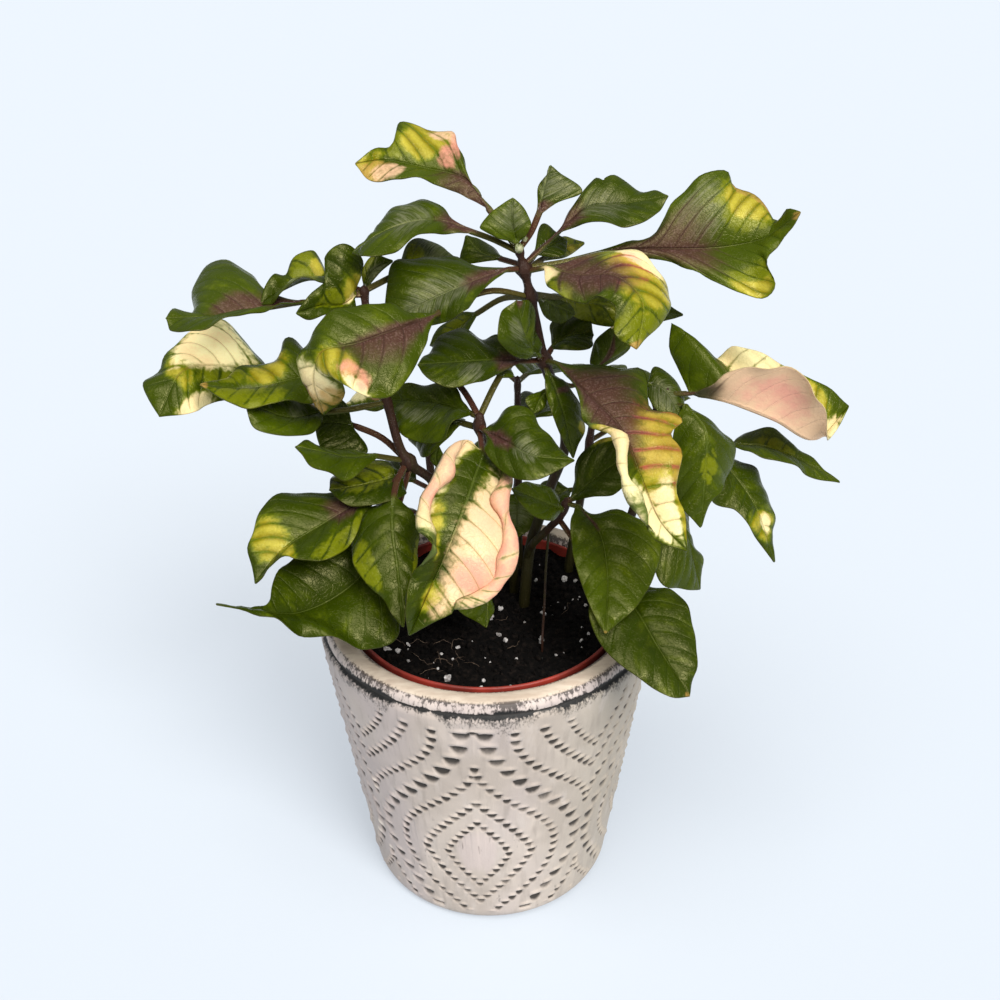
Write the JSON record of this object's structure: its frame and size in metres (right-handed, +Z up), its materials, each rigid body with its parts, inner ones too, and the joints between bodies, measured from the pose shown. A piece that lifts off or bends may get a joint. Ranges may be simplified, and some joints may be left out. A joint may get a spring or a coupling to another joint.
{
  "type": "potted joyweed",
  "caption": "Bushy joyweed with waved green, cream and pink leaves, in soil in a red nursery pot that stands in a tapered cover pot with dented relief.",
  "frame": {"origin": "middle of the cover pot's flat underside", "axes": "+Z up, the side seen in the picture faces -Y, +X to the right of that side"},
  "size_m": [0.2459, 0.1517, 0.3038],
  "materials": {
    "pot_glaze": "worn matt glaze on earthenware",
    "nursery_plastic": "thin moulded brick red plastic",
    "potting_soil": "moist black peat with white perlite",
    "joyweed_leaf": "glossy green leaf splashed with cream, yellow and pink"
  },
  "bodies": {
    "root": {"cover_pot": "pot_glaze", "nursery_pot": "nursery_plastic", "soil": "potting_soil", "leafy_stem_centre": "joyweed_leaf", "leafy_stem_left": "joyweed_leaf", "leafy_stem_front": "joyweed_leaf", "leafy_stem_right": "joyweed_leaf", "leafy_stem_back": "joyweed_leaf", "leafy_stem_back_left": "joyweed_leaf", "leafy_stem_back_right": "joyweed_leaf"}
  },
  "joints": []
}
